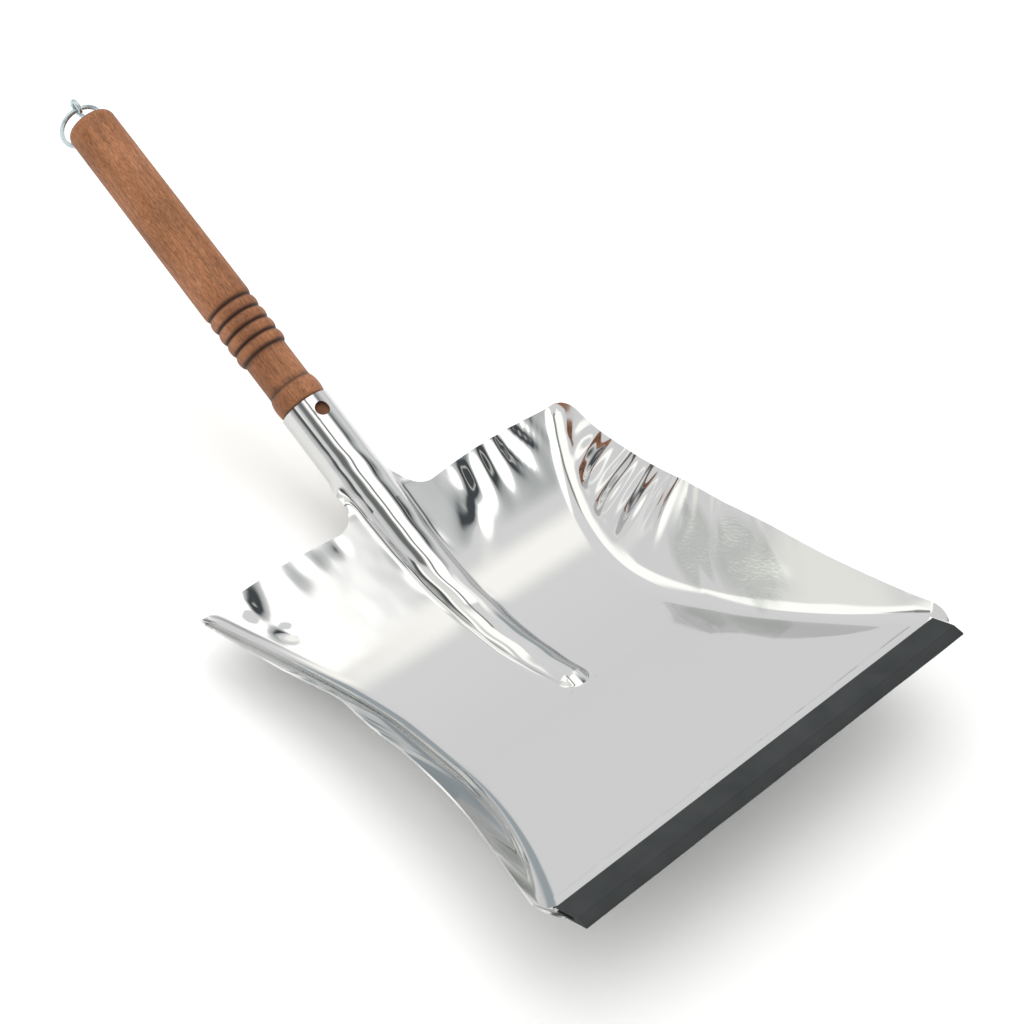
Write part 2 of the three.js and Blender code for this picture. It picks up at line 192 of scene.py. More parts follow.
# ---- Frames: the pan's own frame and the handle's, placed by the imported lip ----
lip_low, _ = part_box("rubber_lip")
TILT = Matrix.Rotation(-deg(STAND_ANGLE), 4, "X")
lip_front_low = TILT @ Vector((0, -LIP_DEPTH, -LIP_DROP)) * MM
lip_rear_low = TILT @ Vector((0, 0, -(SHEET / 2 + GAP + LIP_FLAP))) * MM
pan_origin = Vector((lip_low.x + LIP_LEFT * MM, lip_low.y - lip_front_low.y, lip_low.z - lip_rear_low.z))
PAN_FRAME = Matrix.Translation(pan_origin) @ TILT


def sheet_frame(along):
    """Point, forward tangent and upward normal of the unbent sheet at a distance along it."""
    angle = min(max((along - FLOOR_LENGTH) / HEEL_RADIUS, 0), BACK)
    tangent = np.array((0, math.cos(angle), math.sin(angle)))
    normal = np.array((0, -math.sin(angle), math.cos(angle)))
    point = np.array((0, min(along, FLOOR_LENGTH), HEEL_RADIUS)) - HEEL_RADIUS * normal
    return point + tangent * max(along - HEEL_END, 0), tangent, normal


def on_sheet(along, across, up=0.0):
    point, _, normal = sheet_frame(along)
    return point + np.array((across, 0, 0)) + normal * up


rim = on_sheet(BACK_EDGE + SOCKET_LENGTH, 0, -SOCKET_DEPTH) * MM
HANDLE_FRAME = PAN_FRAME @ Matrix.Translation(Vector(rim)) @ Matrix.Rotation(BACK - PI / 2, 4, "X")


# ---- Plan of the sheet ----
def crease_half_width(along):
    """Distance from the centre line to the crease between the floor and a side wall."""
    if along < WAIST_AT:
        return WAIST + FRONT_FLARE * ((WAIST_AT - along) / WAIST_AT) ** FRONT_FLARE_POWER
    return WAIST + REAR_FLARE * ((along - WAIST_AT) / (BACK_EDGE - WAIST_AT)) ** REAR_FLARE_POWER


def catmull(values, t):
    """Smooth curve through the values, which are one unit of t apart."""
    i = min(int(t), len(values) - 2)
    f = t - i
    p1, p2 = values[i], values[i + 1]
    p0 = values[i - 1] if i > 0 else 2 * p1 - p2
    p3 = values[i + 2] if i + 2 < len(values) else 2 * p2 - p1
    linear = (p2 - p0) * f
    square = (2 * p0 - 5 * p1 + 4 * p2 - p3) * f**2
    cubic = (3 * p1 - p0 - 3 * p2 + p3) * f**3
    return 0.5 * (2 * p1 + linear + square + cubic)


def wall_at(along):
    """Width and slope of the side wall."""
    step = BACK_EDGE / (len(WALL_CURVE) - 1)
    t = min(max(along / step, 0), len(WALL_CURVE) - 1)
    width = catmull([p[1] for p in WALL_CURVE], t)
    slope = catmull([p[2] for p in WALL_CURVE], t)
    rounded = max(along - (BACK_EDGE - WING_ROUNDING), 0)
    cut = WING_ROUNDING - math.sqrt(max(WING_ROUNDING**2 - rounded**2, 0))
    return width - cut, deg(slope)


# ---- Cross-section of the bead and the socket: an arc, then a fillet back to the level of the floor ----
def bead_at(along):
    """Radius and height of the bead's arc."""
    grown = min(max((along - BEAD_TIP) / (BACK_EDGE - BEAD_TIP), 0), 1)
    socket_half = math.sqrt(SOCKET_RADIUS**2 - SOCKET_DEPTH**2)
    half = lerp(BEAD_HALF_WIDTH, socket_half, grown)
    full = lerp(BEAD_HEIGHT, SOCKET_RADIUS - SOCKET_DEPTH, grown)
    radius = (half**2 + full**2) / (2 * full)
    return radius, full * math.sqrt(smooth((along - BEAD_TIP) / BEAD_TIP_RISE))


def heading_drop(end_angle):
    """Drop of the unit arc and its fillet for the angle at which the arc ends."""
    samples = 40
    ts = (np.arange(samples) + 0.5) / samples
    fillet = end_angle * (1 - smooth_array(ts))
    return (1 - math.cos(end_angle)) + FILLET_SHARE * np.sin(fillet).mean()


def arc_end(radius, height):
    """Angle at which the arc gives way to its fillet, found by halving."""
    low, high = 0.0, PI / 2
    for _ in range(30):
        middle = (low + high) / 2
        if radius * heading_drop(middle) < height:
            low = middle
        else:
            high = middle
    return (low + high) / 2


def section_stations(radius, end):
    """Distances along the section, from its top to the foot of the fillet, at which its points lie."""
    arc = radius * end
    fillet = radius * FILLET_SHARE
    stations = [arc * i / BEAD_STEPS for i in range(BEAD_STEPS + 1)]
    return stations + [arc + fillet * i / BEND_STEPS for i in range(1, BEND_STEPS + 1)]


def walk_section(stations, radius, end, wrap=0.0):
    """Points (across, up) from the top of the section; at wrap 1 the arc goes on round and never levels."""
    arc = radius * end
    fillet = radius * FILLET_SHARE

    def heading(s):
        level = s / radius if s <= arc else end * (1 - smooth((s - arc) / fillet))
        return lerp(level, s / radius, wrap)

    points = [(0.0, 0.0)]
    for a, b in zip(stations, stations[1:]):
        x, z = points[-1]
        for k in range(WALK_STEPS):
            h = heading(lerp(a, b, (k + 0.5) / WALK_STEPS))
            x += math.cos(h) * (b - a) / WALK_STEPS
            z -= math.sin(h) * (b - a) / WALK_STEPS
        points.append((x, z))
    return points


def centre_profile(radius, height):
    """Points (across, up) from the top of the bead to the outer end of the flat foot beside it."""
    end = max(arc_end(radius, height), SMALLEST_ARC)
    profile = walk_section(section_stations(radius, end), radius, end)
    inner, level = profile[-1]
    profile += [(lerp(inner, CENTRE_HALF_WIDTH, i / FOOT_STEPS), level) for i in range(1, FOOT_STEPS + 1)]
    return [(x, z + height) for x, z in profile]


def flat_profile():
    """The same points where there is no bead."""
    flat = [BEAD_HALF_WIDTH * i / BEAD_STEPS for i in range(BEAD_STEPS + 1)]
    flat += [BEAD_HALF_WIDTH + FLAT_BEND * i / BEND_STEPS for i in range(1, BEND_STEPS + 1)]
    flat += [lerp(flat[-1], CENTRE_HALF_WIDTH, i / FOOT_STEPS) for i in range(1, FOOT_STEPS + 1)]
    return [(x, 0.0) for x in flat]


# ---- Rows of points across the sheet ----
def centre_half(along):
    radius, height = bead_at(along)
    return centre_profile(radius, height) if height >= LOWEST_BEAD else flat_profile()


def floor_half(along):
    edge = crease_half_width(max(along, WALL_START)) - CREASE_RADIUS
    bulge = BACK_BULGE * smooth((along - HEEL_END) / (BACK_EDGE - HEEL_END))
    points = []
    for i in range(1, FLOOR_COLUMNS + 1):
        t = i / FLOOR_COLUMNS
        points.append(on_sheet(along + bulge * math.sin(PI * t), lerp(CENTRE_HALF_WIDTH, edge, t)))
    return points


def wall_half(along):
    _, tangent, normal = sheet_frame(along)
    width, slope = wall_at(along)
    lean = (crease_half_width(along + 1) - crease_half_width(along - 1)) / 2
    outward = np.array((1.0, 0, 0)) - tangent * lean
    outward /= np.linalg.norm(outward)
    up = outward * math.cos(slope) + normal * math.sin(slope)
    corner = on_sheet(along, crease_half_width(along))
    inner = on_sheet(along, crease_half_width(along) - CREASE_RADIUS)
    bend_end = min(CREASE_RADIUS, 0.6 * width)  # a narrow wall has a tighter bend
    outer = corner + up * bend_end
    points = []
    for i in range(1, CREASE_COLUMNS + 1):
        t = i / CREASE_COLUMNS
        points.append(inner * (1 - t) ** 2 + corner * 2 * t * (1 - t) + outer * t**2)
    for i in range(1, WALL_COLUMNS + 1):
        points.append(corner + up * lerp(bend_end, width, i / WALL_COLUMNS))
    return points


def both_halves(right):
    """The right half, which starts on the centre line, with its mirror image before it."""
    left = [p * MIRROR for p in right[:0:-1]]
    return left + right


def pan_row(along, with_walls=True):
    centre = [on_sheet(along, x, z) for x, z in centre_half(along)]
    walls = wall_half(along) if with_walls else []
    return both_halves(centre + floor_half(along) + walls)


def ear_row(forward):
    """The rounded front corner of the sheet, beside the lip's end."""
    column = CREASE_COLUMNS * 2 // 3 - 1
    start = wall_half(WALL_START)[column:]
    shrink = math.sqrt(max(1 - (forward / EAR_LENGTH) ** 2, 0))
    return [start[0] + (p - start[0]) * shrink - np.array((0, forward, 0)) for p in start]


def socket_section(along, foot):
    """One section behind the back edge: its feet wrap round until their edges meet underneath."""
    wrap = smooth((along - BACK_EDGE - WRAP_START) / WRAP_LENGTH)
    radius, height = bead_at(BACK_EDGE)
    end = arc_end(radius, height)
    stations = section_stations(radius, end)
    reach = stations[-1]
    stations += [reach + foot * i / FOOT_STEPS for i in range(1, FOOT_STEPS + 1)]
    points = walk_section(stations, radius, end, wrap)
    return [(x, z + height, s) for (x, z), s in zip(points, stations)]


def socket_stations(hole_half):
    """Distance along the sheet and width of the foot for each row of the socket."""
    radius, height = bead_at(BACK_EDGE)
    reach = radius * (arc_end(radius, height) + FILLET_SHARE)
    fillet_foot = centre_profile(radius, height)[BEAD_STEPS + BEND_STEPS][0]
    full_foot = CENTRE_HALF_WIDTH - fillet_foot
    narrow_foot = full_foot - SOCKET_FILLET
    rim_foot = SOCKET_RADIUS * deg(SOCKET_WRAP) - reach
    fillet_steps = 24
    rows = []
    for i in range(fillet_steps + 1):
        turn = PI / 2 * i / fillet_steps
        along = BACK_EDGE + SOCKET_FILLET * (1 - math.cos(turn))
        rows.append((along, full_foot - SOCKET_FILLET * math.sin(turn)))
    start = BACK_EDGE + SOCKET_FILLET
    end = BACK_EDGE + SOCKET_LENGTH
    hole = end - PEEP_HOLE_FROM_RIM
    marks = (start, hole - HOLE_ZONE, hole - hole_half, hole + hole_half, hole + HOLE_ZONE, end)
    counts = (36, 6, 8, 6, 1)
    for a, b, count in zip(marks, marks[1:], counts):
        for i in range(1, count + 1):
            along = lerp(a, b, i / count)
            closing = smooth((along - start) / (end - start) * CLOSING_RATE)
            rows.append((along, lerp(narrow_foot, rim_foot, closing)))
    return rows


def socket_rows():
    """Rows of the socket, and for each point whether it lies in the peep hole.

    The hole starts as a square of the grid, whose points are moved out or in onto circles.
    """
    radius, height = bead_at(BACK_EDGE)
    hole_half = radius * arc_end(radius, height) * HOLE_COLUMN / BEAD_STEPS
    hole = BACK_EDGE + SOCKET_LENGTH - PEEP_HOLE_FROM_RIM
    grid = []
    keep = []
    for along, foot in socket_stations(hole_half):
        row = []
        inside = []
        for x, z, s in socket_section(along, foot):
            du, dv = along - hole, s
            square = max(abs(du), abs(dv))
            inside.append(square < hole_half - TINY)
            if TINY < square < HOLE_ZONE:
                flat = math.hypot(du, dv)
                eased = smooth((square - hole_half) / (HOLE_ZONE - hole_half))
                target = lerp(square * PEEP_HOLE_RADIUS / hole_half, flat, eased)
                du, dv = du * target / flat, dv * target / flat
                angle = dv / SOCKET_RADIUS
                x = SOCKET_RADIUS * math.sin(angle)
                z = SOCKET_RADIUS * math.cos(angle) - SOCKET_DEPTH
            row.append(on_sheet(hole + du if square < HOLE_ZONE else along, x, z))
        grid.append(both_halves(row))
        keep.append(inside[:0:-1] + inside)
    return grid, keep


# ---- Ripples and dents that the press left in the sheet, mm ----
BACK_RIPPLE_LEFT = 0.04
BACK_RIPPLE_RIGHT = 0.12
WALL_RIPPLE_LEFT = 0.06
WALL_RIPPLE_RIGHT = 0.12
BEAD_RIPPLE = 0.13
SOCKET_RIPPLE = 0.10
BEND_HEIGHT = 0.30
BEND_HALF_WIDTH = 0.9
# Wave lengths.
BACK_WAVES = (13.5, 8.2, 23.0)
WALL_WAVES = (15.5, 9.4, 27.0)
BEAD_WAVES = (37.0, 22.0)
SOCKET_WAVES = (33.0, 19.0)
BEND_WAVES = (31.0, 12.5, 7.3)
MATT_WAVES = (17.0, 11.0, 29.0)
# Matt blots of the right wall: distance along the sheet, distance from the top edge, half length and
# half width.
REAR_BLOT = (131, 26, 12, 15)
FRONT_BLOT = (94, 22, 17, 17)
HAZE_BLOT = (116, 22, 38, 17)
HAZE = 0.25
# Dents hanging from the back edge of the right half: distance out from the centre strip, distance
# in from the edge, half width, half length, lean and height.
BACK_DENTS = (
    (8, 25, 6.5, 13, 0.5, -1.20), (7, 22, 2.8, 6, 0.4, 0.55), (14, 8, 3.2, 9, 0.2, 0.75),
    (22, 12, 4.4, 13, 0.35, -1.15), (28, 6, 2.6, 8, 0.3, 0.65), (34, 11, 3.8, 13, 0.25, -1.05),
    (41, 6, 2.6, 8, 0.1, 0.65), (47, 10, 4.0, 13, -0.1, -1.00), (55, 7, 3.0, 9, -0.3, 0.55),
    (62, 9, 3.6, 9, -0.3, -0.45),
)
# Dents of the left half's back edge, in the same terms.
PUCKER_DENTS = (
    (66, 13, 6.5, 16, -0.5, 2.00), (55, 27, 7.0, 5.0, 0.3, -1.85), (77, 6, 3.0, 5, 0.0, -0.70),
    (37, 7, 7.0, 8, 0.2, 0.45), (20, 5, 6.0, 5, 0.0, 0.40), (3, 5, 2.5, 4, 0.0, -0.45),
)
# Dents below the top edge of the right wall: distance along the sheet, distance from the edge, half
# width, half length, lean and height.
WALL_DENTS = (
    (234, 15, 3.4, 9, 0.3, 0.80), (223, 14, 3.2, 13, 0.4, -0.75), (212, 17, 3.0, 14, 0.4, 0.85),
    (202, 14, 2.6, 16, 0.35, -0.70), (193, 21, 2.8, 17, 0.3, 0.85), (183, 15, 2.8, 15, 0.3, -0.60),
    (173, 19, 3.0, 17, 0.2, 0.70), (162, 13, 3.2, 13, 0.2, -0.50), (150, 17, 3.6, 14, 0.2, 0.50),
    (137, 12, 4.4, 10, 0.2, -0.40), (118, 26, 12, 15, -0.4, -0.22), (94, 19, 13, 8, -0.5, 0.20),
    (70, 24, 11, 9, -0.4, -0.35),
)


def waves(position, lengths, phase):
    """Sum of sine waves of the given lengths, each weaker than the one before."""
    total = np.zeros_like(position)
    for i, length in enumerate(lengths):
        total += np.sin(2 * PI * position / length + phase + 2.4 * i) / (i + 1)
    return total


def hump(distance, width):
    """1 at distance 0, falling smoothly towards 0 beyond the width."""
    return np.exp(-((distance / width) ** 2))


def dents(table, position, depth):
    """Sum of a table's dents at a position along the edge and a depth in from it."""
    total = np.zeros_like(position)
    for middle, centre, half_width, half_length, lean, height in table:
        sideways = position - middle + lean * (depth - centre)
        total += height * hump(sideways, half_width) * hump(depth - centre, half_length)
    return total


def back_ripple(across, behind, outward, from_top):
    """Fine waves below the back edge."""
    side = np.sign(across)
    near = hump(behind, np.where(side > 0, 15, 12)) * smooth_array(outward / 10)
    near *= smooth_array((from_top - 3) / 12)
    shift = 2.2 * np.sin(behind / 5.5 + outward / 9) + 0.16 * behind * side
    amplitude = np.where(side > 0, BACK_RIPPLE_RIGHT, BACK_RIPPLE_LEFT)
    return amplitude * near * waves(across + shift, BACK_WAVES, 0.7)


def wall_ripple(along, side, from_top):
    """Fine waves below the top edge of each side wall."""
    fade = smooth_array((along - 35) / 90) * smooth_array((BACK_EDGE - 3 - along) / 12)
    shift = 1.8 * np.sin(from_top / 5 + along / 11) + 0.3 * from_top
    amplitude = np.where(side > 0, WALL_RIPPLE_RIGHT, WALL_RIPPLE_LEFT)
    return amplitude * hump(from_top, 17) * fade * waves(along + shift, WALL_WAVES, 1.9 + side)


def bead_ripple(along, across):
    """Long waves along the bead."""
    on_bead = smooth_array((17 - np.abs(across)) / 8) * smooth_array((along - BEAD_TIP - 6) / 20)
    on_bead *= smooth_array((BACK_EDGE - 1 - along) / 20)
    return BEAD_RIPPLE * on_bead * waves(along + 1.6 * across, BEAD_WAVES, 0.9)


def bend_line(along, across, from_top):
    """Faint bend line across the floor behind the lip, uneven along its length."""
    bend = hump(along - BEND_FROM_LIP, BEND_HALF_WIDTH) * smooth_array((from_top - 12) / 8)
    return BEND_HEIGHT * bend * (0.7 + 0.3 * waves(across, BEND_WAVES, 0.4))


def ripple(along, across, from_top, wall_width):
    """Height of all the ripples and dents of the sheet; from_top is measured from a wall's top edge."""
    inside = from_top - wall_width
    side = np.sign(across)
    behind = BACK_EDGE - along
    outward = np.abs(across) - CENTRE_HALF_WIDTH
    on_wall = smooth_array((-inside - 3) / 12)
    on_back = smooth_array((inside - 8) / 10)
    right_dents = dents(BACK_DENTS, outward, behind) * on_back + dents(WALL_DENTS, along, from_top) * on_wall
    left_dents = dents(PUCKER_DENTS, outward, behind) * on_back
    return (
        back_ripple(across, behind, outward, from_top)
        + wall_ripple(along, side, from_top)
        + np.where(side > 0, right_dents, left_dents)
        + bead_ripple(along, across)
        + bend_line(along, across, from_top)
    )


def socket_ripple(behind, reach):
    """Height of the waves of the socket; reach is measured sideways from its top line."""
    clear_of_hole = smooth_array((SOCKET_LENGTH - 22 - behind) / 18)
    wave = waves(behind + 1.3 * reach, SOCKET_WAVES, 2.2)
    return SOCKET_RIPPLE * smooth_array(behind / 14) * clear_of_hole * wave


def blot(along, from_top, place):
    """1 in the middle of a matt blot, falling smoothly towards 0 outside it."""
    middle, centre, half_length, half_width = place
    return hump(along - middle, half_length) * hump(from_top - centre, half_width)


def frost_patch(along, from_top, across):
    """1 where the polish of the right wall has turned matt, 0 elsewhere."""
    ragged = 2.5 * waves(along + from_top, MATT_WAVES, 0.3)
    slanted = along + 0.35 * from_top + ragged
    rear = blot(slanted, from_top - ragged, REAR_BLOT)
    front = blot(slanted, from_top + ragged, FRONT_BLOT)
    worn = np.maximum(rear, front) + HAZE * blot(along, from_top, HAZE_BLOT)
    return np.where(across > 0, smooth_array((worn - 0.15) / 0.5), 0)


# ---- Meshes ----
def grid_normals(points):
    """Upward normals of a grid of points."""
    across = np.gradient(points, axis=1)
    forward = np.gradient(points, axis=0)
    normals = np.cross(across, forward)
    return normals / np.maximum(np.linalg.norm(normals, axis=2, keepdims=True), 1e-9)


def travelled_along(rows):
    """Distance along each row of points from its first point."""
    steps = np.linalg.norm(np.diff(rows, axis=1), axis=2)
    return np.concatenate([np.zeros((len(rows), 1)), np.cumsum(steps, axis=1)], axis=1)


def grid_faces(rows, columns, base, left_out=None):
    """Quads of a grid whose first point has the index base, without those that touch a point left out."""
    faces = []
    for r in range(rows - 1):
        for c in range(columns - 1):
            a = r * columns + c
            corners = (a, a + 1, a + 1 + columns, a + columns)
            if left_out is None or not any(left_out[i // columns][i % columns] for i in corners):
                faces.append(tuple(base + i for i in corners))
    return faces


def loop_faces(loops, sides):
    """Quads between closed loops of points that follow each other."""
    faces = []
    for r in range(loops - 1):
        for k in range(sides):
            a = r * sides + k
            b = r * sides + (k + 1) % sides
            faces.append((a, b, b + sides, a + sides))
    return faces


def end_faces(loops, sides):
    """Faces that close the first and the last loop."""
    first = tuple(range(sides))[::-1]
    last = tuple((loops - 1) * sides + k for k in range(sides))
    return [first, last]


def mesh_object(name, points, faces, world, body, material):
    """Smooth-shaded piece from points in metres; the attribute "local" keeps them for the materials."""
    mesh = bpy.data.meshes.new(name)
    mesh.from_pydata([tuple(p) for p in points], [], faces)
    local = mesh.attributes.new("local", "FLOAT_VECTOR", "POINT")
    local.data.foreach_set("vector", np.asarray(points, np.float32).ravel())
    mesh.transform(world)
    mesh.update()
    for polygon in mesh.polygons:
        polygon.use_smooth = True
    piece = bpy.data.objects.new(name, mesh)
    bpy.context.scene.collection.objects.link(piece)
    mesh.materials.append(material)
    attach(piece, body)
    return piece


def merge_doubles(piece, distance):
    bm = bmesh.new()
    bm.from_mesh(piece.data)
    bmesh.ops.remove_doubles(bm, verts=bm.verts, dist=distance)
    loose = [v for v in bm.verts if not v.link_faces]
    bmesh.ops.delete(bm, geom=loose, context="VERTS")
    bm.to_mesh(piece.data)
    bm.free()


def turned(outline, sides):
    """Points and faces of an outline of (radius, height) pairs turned about Z, mm."""
    points = []
    for radius, height in outline:
        for k in range(sides):
            angle = 2 * PI * k / sides
            points.append((radius * math.cos(angle), radius * math.sin(angle), height))
    return np.array(points), loop_faces(len(outline), sides)


def tube(path, radii, sides, closed):
    """Points and faces of a round wire along a path, mm."""
    path = [np.array(p, float) for p in path]
    count = len(path)
    points = []
    normal = None
    for i in range(count):
        ahead = path[(i + 1) % count] if closed or i + 1 < count else path[i]
        before = path[i - 1] if closed or i > 0 else path[i]
        tangent = (ahead - before) / np.linalg.norm(ahead - before)
        if normal is None:
            trial = np.array((0, 0, 1.0)) if abs(tangent[2]) < 0.9 else np.array((1.0, 0, 0))
            normal = np.cross(tangent, trial)
        normal = normal - tangent * normal.dot(tangent)
        normal /= np.linalg.norm(normal)
        side = np.cross(tangent, normal)
        for k in range(sides):
            angle = 2 * PI * k / sides
            points.append(path[i] + radii[i] * (normal * math.cos(angle) + side * math.sin(angle)))
    if closed:
        last = count * sides
        faces = [tuple(i % last for i in face) for face in loop_faces(count + 1, sides)]
    else:
        faces = loop_faces(count, sides) + end_faces(count, sides)
    return np.array(points), faces


# ---- Nodes of the materials and of the world ----
def new_material(name, color, roughness, metallic=0.0):
    material = bpy.data.materials.new(name)
    material.use_nodes = True
    nodes = material.node_tree.nodes
    shader = nodes["Principled BSDF"]
    shader.inputs["Base Color"].default_value = (*color, 1)
    shader.inputs["Roughness"].default_value = roughness
    shader.inputs["Metallic"].default_value = metallic
    return material, nodes, material.node_tree.links, shader


def local_noise(nodes, links, scale, detail=3.0, stretch=(1, 1, 1), roughness=0.5):
    """Noise in the piece's own frame, in metres, so that grain follows the piece."""
    coordinates = nodes.new("ShaderNodeAttribute")
    coordinates.attribute_name = "local"
    mapping = nodes.new("ShaderNodeMapping")
    mapping.inputs["Scale"].default_value = stretch
    noise = nodes.new("ShaderNodeTexNoise")
    noise.inputs["Scale"].default_value = scale
    noise.inputs["Detail"].default_value = detail
    noise.inputs["Roughness"].default_value = roughness
    links.new(coordinates.outputs["Vector"], mapping.inputs["Vector"])
    links.new(mapping.outputs["Vector"], noise.inputs["Vector"])
    return noise


def attribute_value(nodes, name):
    """Value of a number that the mesh holds at each point."""
    node = nodes.new("ShaderNodeAttribute")
    node.attribute_name = name
    return node.outputs["Fac"]


def ramp(nodes, links, source, stops):
    """Colour for a value, from pairs of a value and a colour or a grey level."""
    node = nodes.new("ShaderNodeValToRGB")
    elements = node.color_ramp.elements
    while len(elements) < len(stops):
        elements.new(0.5)
    for element, (place, color) in zip(elements, stops):
        element.position = place
        element.color = (*color, 1) if isinstance(color, tuple) else (color, color, color, 1)
    links.new(source, node.inputs["Fac"])
    return node.outputs["Color"]


def bump(nodes, links, source, shader, strength, distance):
    node = nodes.new("ShaderNodeBump")
    node.inputs["Strength"].default_value = strength
    node.inputs["Distance"].default_value = distance
    links.new(source, node.inputs["Height"])
    links.new(node.outputs["Normal"], shader.inputs["Normal"])
    return node


def multiply(nodes, links, first, second, amount):
    """First colour darkened by the second, as far as the amount says."""
    node = nodes.new("ShaderNodeMix")
    node.data_type = "RGBA"
    node.blend_type = "MULTIPLY"
    node.inputs["Factor"].default_value = amount
    links.new(first, node.inputs["A"])
    links.new(second, node.inputs["B"])
    return node.outputs["Result"]


def blend(nodes, links, factor, first, color):
    """First colour where the factor is 0, a fixed colour where it is 1."""
    node = nodes.new("ShaderNodeMix")
    node.data_type = "RGBA"
    links.new(factor, node.inputs["Factor"])
    links.new(first, node.inputs["A"])
    node.inputs["B"].default_value = (*color, 1)
    return node.outputs["Result"]


# ---- Materials ----
STEEL = (0.63, 0.635, 0.63)
MATT_STEEL = (0.48, 0.493, 0.478)
MATT_ROUGHNESS = (0.13, 0.13, 0.13)
ZINC = (0.52, 0.60, 0.63)
DULL_ZINC = (0.47, 0.55, 0.59)
PALE_ZINC = (0.62, 0.69, 0.71)
RUBBER = (0.03, 0.033, 0.034)
DARK_RUBBER = (0.022, 0.025, 0.026)
DUSTY_RUBBER = (0.036, 0.039, 0.040)
WOOD = (0.33, 0.14, 0.07)
DARK_WOOD = (0.29, 0.112, 0.045)
MIDDLE_WOOD = (0.44, 0.180, 0.078)
LIGHT_WOOD = (0.60, 0.262, 0.130)
# Colour of the painted shade in the turned grooves and at the joints of the handle.
GROOVE_SHADE_COLOR = (0.030, 0.012, 0.008)


def steel_material():
    """Mirror polish with a faint waviness, and a matt patch where the attribute "frost" says so."""
    material, nodes, links, shader = new_material("polished_steel", STEEL, roughness=0.06, metallic=1.0)
    frost = attribute_value(nodes, "frost")
    haze = local_noise(nodes, links, scale=22, detail=4)
    rough = ramp(nodes, links, haze.outputs["Fac"], ((0.35, 0.035), (0.7, 0.085)))
    links.new(blend(nodes, links, frost, rough, MATT_ROUGHNESS), shader.inputs["Roughness"])
    links.new(ramp(nodes, links, frost, ((0.1, STEEL), (0.9, MATT_STEEL))), shader.inputs["Base Color"])
    polish = local_noise(nodes, links, scale=30, detail=2, stretch=(1, 0.35, 1))
    waviness = bump(nodes, links, polish.outputs["Fac"], shader, strength=0.2, distance=0.0008)
    scratches = local_noise(nodes, links, scale=900, detail=4, stretch=(1, 0.45, 1))
    worn = nodes.new("ShaderNodeMath")
    worn.operation = "MULTIPLY"
    links.new(frost, worn.inputs[0])
    links.new(scratches.outputs["Fac"], worn.inputs[1])
    fine = bump(nodes, links, worn.outputs[0], shader, strength=0.5, distance=0.00014)
    links.new(waviness.outputs["Normal"], fine.inputs["Normal"])
    return material


def zinc_material():
    """Bright zinc plating with small dull and pale spots."""
    material, nodes, links, shader = new_material("bright_zinc", ZINC, roughness=0.22, metallic=1.0)
    spots = local_noise(nodes, links, scale=420, detail=4).outputs["Fac"]
    links.new(ramp(nodes, links, spots, ((0.3, 0.18), (0.7, 0.36))), shader.inputs["Roughness"])
    links.new(ramp(nodes, links, spots, ((0.3, DULL_ZINC), (0.75, PALE_ZINC))), shader.inputs["Base Color"])
    bump(nodes, links, spots, shader, strength=0.15, distance=0.0002)
    return material


def rubber_material():
    """Dark rubber with a fine grain and faint dusty areas."""
    material, nodes, links, shader = new_material("dark_rubber", RUBBER, roughness=0.6)
    shader.inputs["Specular IOR Level"].default_value = 0.25
    dust = local_noise(nodes, links, scale=60, detail=5).outputs["Fac"]
    tone = ramp(nodes, links, dust, ((0.3, DARK_RUBBER), (0.75, DUSTY_RUBBER)))
    links.new(tone, shader.inputs["Base Color"])
    grain = local_noise(nodes, links, scale=1500, detail=2)
    bump(nodes, links, grain.outputs["Fac"], shader, strength=0.25, distance=0.0001)
    return material


def wood_material():
    """Brown-stained beech: broad tones, short flecks and long pores, with painted shade darkening the turned
    grooves and the joints.
    """
    material, nodes, links, shader = new_material("stained_beech", WOOD, roughness=0.55)
    shader.inputs["Specular IOR Level"].default_value = 0.3
    broad = local_noise(nodes, links, scale=65, detail=4, stretch=(1, 1, 0.35))
    tones = ((0.30, DARK_WOOD), (0.50, MIDDLE_WOOD), (0.72, LIGHT_WOOD))
    base = ramp(nodes, links, broad.outputs["Fac"], tones)
    flecks = local_noise(nodes, links, scale=3600, detail=3, stretch=(1, 1, 0.10), roughness=0.6)
    fleck_shade = ramp(nodes, links, flecks.outputs["Fac"], ((0.37, 0.30), (0.50, 0.70), (0.63, 1.0)))
    pores = local_noise(nodes, links, scale=900, detail=3, stretch=(1, 1, 0.05), roughness=0.6)
    pore_shade = ramp(nodes, links, pores.outputs["Fac"], ((0.38, 0.72), (0.52, 1.0)))
    grained = multiply(nodes, links, base, fleck_shade, amount=0.85)
    grained = multiply(nodes, links, grained, pore_shade, amount=0.85)
    # Painted shade: the grooves and joints of the handle are darkened towards this colour.
    shaded_wood = blend(nodes, links, attribute_value(nodes, "painted_groove_shade"), grained, GROOVE_SHADE_COLOR)
    links.new(shaded_wood, shader.inputs["Base Color"])
    bump(nodes, links, flecks.outputs["Fac"], shader, strength=0.25, distance=0.00008)
    return material


# ---- Pieces ----
def main_sheet():
    """Rows of the floor, heel, back and walls with their ripples, and where the polish is matt."""
    alongs = [lerp(start, end, i / count) for start, end, count in ROW_BANDS for i in range(count)]
    alongs.append(BACK_EDGE)
    rows = np.array([pan_row(a) for a in alongs])
    travelled = travelled_along(rows)
    from_top = np.minimum(travelled, travelled[:, -1:] - travelled)
    along = np.repeat(np.array(alongs)[:, None], rows.shape[1], axis=1)
    wall_width = np.array([wall_at(a)[0] for a in alongs])[:, None]
    rows += grid_normals(rows) * ripple(along, rows[:, :, 0], from_top, wall_width)[:, :, None]
    return rows, frost_patch(along, from_top, rows[:, :, 0])


